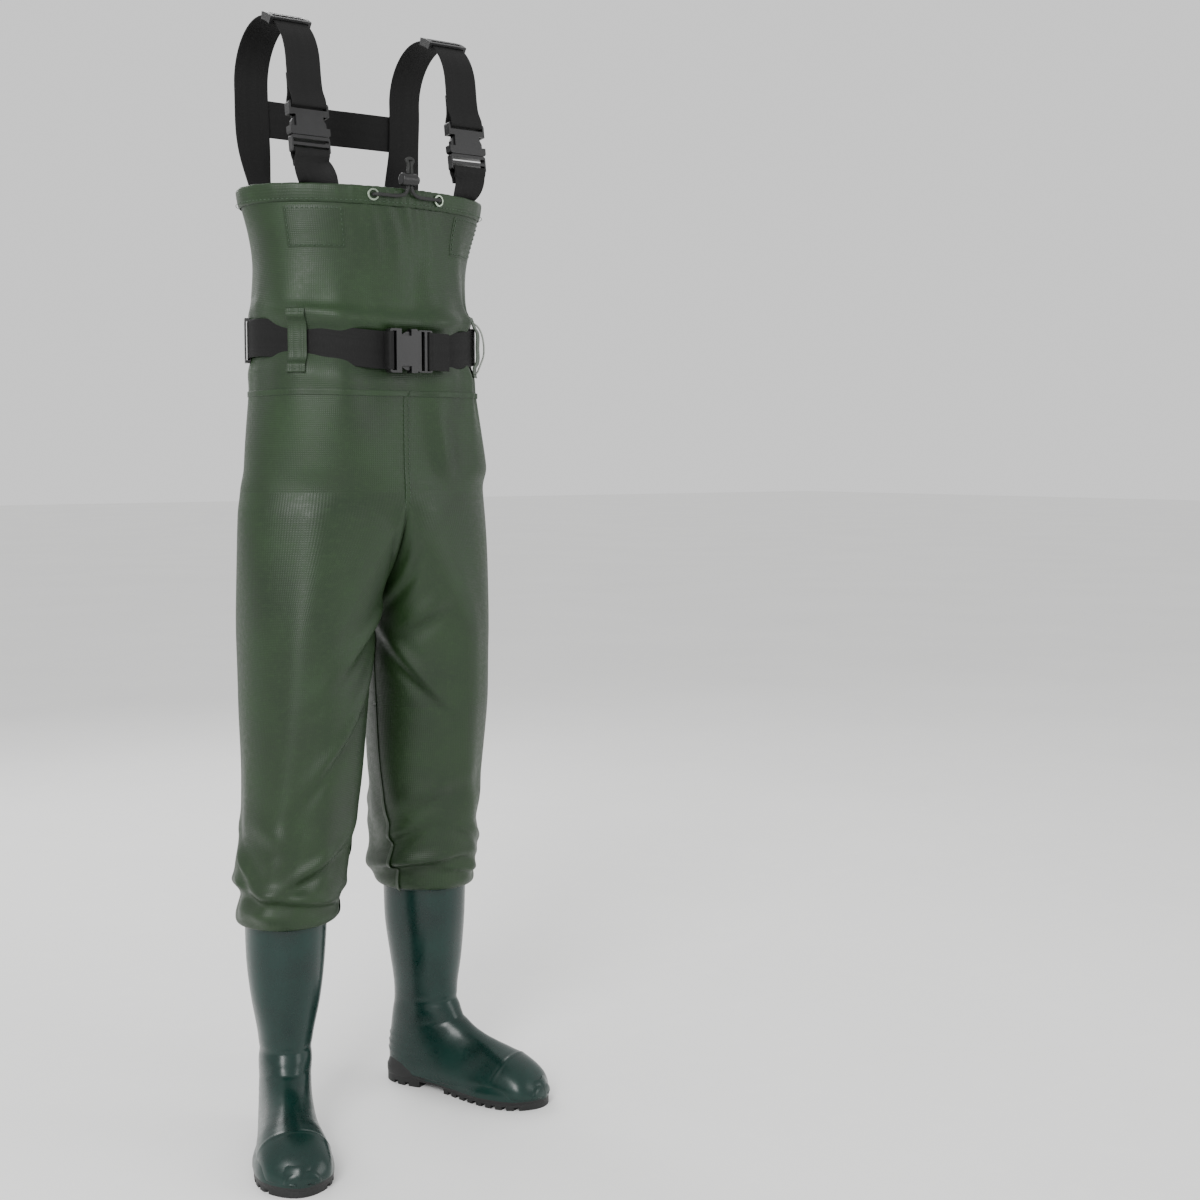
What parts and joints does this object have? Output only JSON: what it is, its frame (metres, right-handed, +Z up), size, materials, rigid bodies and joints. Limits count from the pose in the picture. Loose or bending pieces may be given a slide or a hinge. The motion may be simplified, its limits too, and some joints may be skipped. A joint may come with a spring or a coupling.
{
  "type": "chest waders",
  "caption": "Bootfoot chest waders: fabric bib and legs, webbing harness and belt with side-release buckles, drawcord rim and welded PVC boots.",
  "frame": {"origin": "on the floor under the middle of the stance, midway between the boots", "axes": "+Z up, -Y the way the wearer faces, +X the wearer's left"},
  "size_m": [0.4944, 0.3366, 1.5287],
  "materials": {
    "green_fabric": "satin",
    "seam_tape": "satin",
    "insole_foam": "matte",
    "boot_pvc": "gloss",
    "sole_rubber": "matte",
    "cord_black": "matte",
    "cord_pale": "matte",
    "eyelet_metal": "satin",
    "buckle_plastic": "satin",
    "webbing": "matte"
  },
  "bodies": {
    "torso": {"back_strap_left": "webbing", "back_strap_right": "webbing", "belt_buckle_socket": "buckle_plastic", "belt_fixed_end": "webbing", "belt_loops": "green_fabric", "belt_webbing": "webbing", "bib_back_panel_left": "green_fabric", "bib_back_panel_right": "green_fabric", "bib_front_panel": "green_fabric", "centre_back_seam_tape": "seam_tape", "centre_front_seam_tape": "seam_tape", "cross_strap": "webbing", "drawcord": "cord_black", "eyelets": "eyelet_metal", "front_strap_left": "webbing", "front_strap_right": "webbing", "front_tab_left": "webbing", "front_tab_right": "webbing", "seat_panel_left": "green_fabric", "seat_panel_right": "green_fabric", "side_cord_loop": "cord_pale", "strap_left_buckle_socket": "buckle_plastic", "strap_patches": "green_fabric", "strap_right_buckle_socket": "buckle_plastic", "top_hem": "green_fabric", "waist_seam_tape": "seam_tape"},
    "belt_plug": {"belt_buckle_plug": "buckle_plastic", "belt_loose_end": "webbing"},
    "belt_prong_a": {"belt_buckle_prong_a": "buckle_plastic"},
    "belt_prong_b": {"belt_buckle_prong_b": "buckle_plastic"},
    "strap_plug_left": {"strap_left_buckle_plug": "buckle_plastic"},
    "strap_left_prong_a": {"strap_left_buckle_prong_a": "buckle_plastic"},
    "strap_left_prong_b": {"strap_left_buckle_prong_b": "buckle_plastic"},
    "shoulder_slider_left": {"shoulder_slider_left": "buckle_plastic"},
    "strap_plug_right": {"strap_right_buckle_plug": "buckle_plastic"},
    "strap_right_prong_a": {"strap_right_buckle_prong_a": "buckle_plastic"},
    "strap_right_prong_b": {"strap_right_buckle_prong_b": "buckle_plastic"},
    "shoulder_slider_right": {"shoulder_slider_right": "buckle_plastic"},
    "belt_slider": {"belt_slider": "buckle_plastic"},
    "cord_lock": {"cord_lock_barrel": "buckle_plastic", "cord_lock_spring": "eyelet_metal"},
    "cord_lock_plunger": {"cord_lock_plunger": "buckle_plastic"},
    "thigh_left": {"hip_fabric_left": "green_fabric", "thigh_fabric_left": "green_fabric"},
    "shin_left": {"boot_insole_left": "insole_foam", "boot_shell_left": "boot_pvc", "boot_sole_left": "sole_rubber", "boot_weld_band_left": "seam_tape", "knee_fabric_left": "green_fabric", "shin_fabric_left": "green_fabric"},
    "thigh_right": {"hip_fabric_right": "green_fabric", "thigh_fabric_right": "green_fabric"},
    "shin_right": {"boot_insole_right": "insole_foam", "boot_shell_right": "boot_pvc", "boot_sole_right": "sole_rubber", "boot_weld_band_right": "seam_tape", "knee_fabric_right": "green_fabric", "shin_fabric_right": "green_fabric"}
  },
  "joints": [
    {"name": "belt_buckle_release", "type": "slide", "parent": "torso", "child": "belt_plug", "axis": [1, 0, 0], "range_m": [0, 0.03]},
    {"name": "belt_prong_a_pinch", "type": "hinge", "parent": "belt_plug", "child": "belt_prong_a", "pos_m": [0.0059, -0.0973, 1.1035], "axis": [0, -1, 0], "range_deg": [0, 6], "stiffness_Nm_per_rad": 0.5},
    {"name": "belt_prong_b_pinch", "type": "hinge", "parent": "belt_plug", "child": "belt_prong_b", "pos_m": [0.0059, -0.0973, 1.0665], "axis": [0, 1, 0], "range_deg": [0, 6], "stiffness_Nm_per_rad": 0.5},
    {"name": "strap_left_buckle_release", "type": "slide", "parent": "torso", "child": "strap_plug_left", "axis": [0, -0.1392, -0.9903], "range_m": [0, 0.022], "deforming": ["front_tab_left"]},
    {"name": "strap_left_prong_a_pinch", "type": "hinge", "parent": "strap_plug_left", "child": "strap_left_prong_a", "pos_m": [0.1405, -0.04437, 1.36038], "axis": [0, -0.9903, 0.1392], "range_deg": [0, 6], "stiffness_Nm_per_rad": 0.5},
    {"name": "strap_left_prong_b_pinch", "type": "hinge", "parent": "strap_plug_left", "child": "strap_left_prong_b", "pos_m": [0.1035, -0.04437, 1.36038], "axis": [0, 0.9903, -0.1392], "range_deg": [0, 6], "stiffness_Nm_per_rad": 0.5},
    {"name": "shoulder_slider_left_slide", "type": "hinge", "parent": "torso", "child": "shoulder_slider_left", "pos_m": [0.122, 0.0441, 1.451], "axis": [1, 0, 0], "range_deg": [-20, 20]},
    {"name": "strap_right_buckle_release", "type": "slide", "parent": "torso", "child": "strap_plug_right", "axis": [0, -0.1392, -0.9903], "range_m": [0, 0.022], "deforming": ["front_tab_right"]},
    {"name": "strap_right_prong_a_pinch", "type": "hinge", "parent": "strap_plug_right", "child": "strap_right_prong_a", "pos_m": [-0.1035, -0.04437, 1.36038], "axis": [0, -0.9903, 0.1392], "range_deg": [0, 6], "stiffness_Nm_per_rad": 0.5},
    {"name": "strap_right_prong_b_pinch", "type": "hinge", "parent": "strap_plug_right", "child": "strap_right_prong_b", "pos_m": [-0.1405, -0.04437, 1.36038], "axis": [0, 0.9903, -0.1392], "range_deg": [0, 6], "stiffness_Nm_per_rad": 0.5},
    {"name": "shoulder_slider_right_slide", "type": "hinge", "parent": "torso", "child": "shoulder_slider_right", "pos_m": [-0.122, 0.0441, 1.451], "axis": [1, 0, 0], "range_deg": [-20, 20]},
    {"name": "belt_slider_slide", "type": "hinge", "parent": "torso", "child": "belt_slider", "pos_m": [-0.06563, 0.02903, 1.10121], "axis": [0, 0, 1], "range_deg": [-2, 6]},
    {"name": "cord_lock_slide", "type": "slide", "parent": "torso", "child": "cord_lock", "axis": [0, 0, 1], "range_m": [0, 0.01]},
    {"name": "cord_lock_press", "type": "slide", "parent": "cord_lock", "child": "cord_lock_plunger", "axis": [-1, 0, 0], "range_m": [0, 0.003], "stiffness_N_per_m": 200, "springref_m": -0.002, "deforming": ["cord_lock_spring"]},
    {"name": "hip_left", "type": "hinge", "parent": "torso", "child": "thigh_left", "pos_m": [0.1, 0.0321, 0.8], "axis": [-1, 0, 0], "range_deg": [-15, 60], "deforming": ["hip_fabric_left"]},
    {"name": "knee_left", "type": "hinge", "parent": "thigh_left", "child": "shin_left", "pos_m": [0.128, 0.0721, 0.48], "axis": [1, 0, 0], "range_deg": [0, 90], "deforming": ["knee_fabric_left"]},
    {"name": "hip_right", "type": "hinge", "parent": "torso", "child": "thigh_right", "pos_m": [-0.1, 0.0321, 0.8], "axis": [-1, 0, 0], "range_deg": [-15, 60], "deforming": ["hip_fabric_right"]},
    {"name": "knee_right", "type": "hinge", "parent": "thigh_right", "child": "shin_right", "pos_m": [-0.128, 0.0241, 0.48], "axis": [1, 0, 0], "range_deg": [0, 90], "deforming": ["knee_fabric_right"]}
  ],
  "couplings": [
    {"joint": "belt_prong_b_pinch", "follows": "belt_prong_a_pinch", "ratio": 1},
    {"joint": "strap_left_prong_b_pinch", "follows": "strap_left_prong_a_pinch", "ratio": 1},
    {"joint": "strap_right_prong_b_pinch", "follows": "strap_right_prong_a_pinch", "ratio": 1}
  ]
}
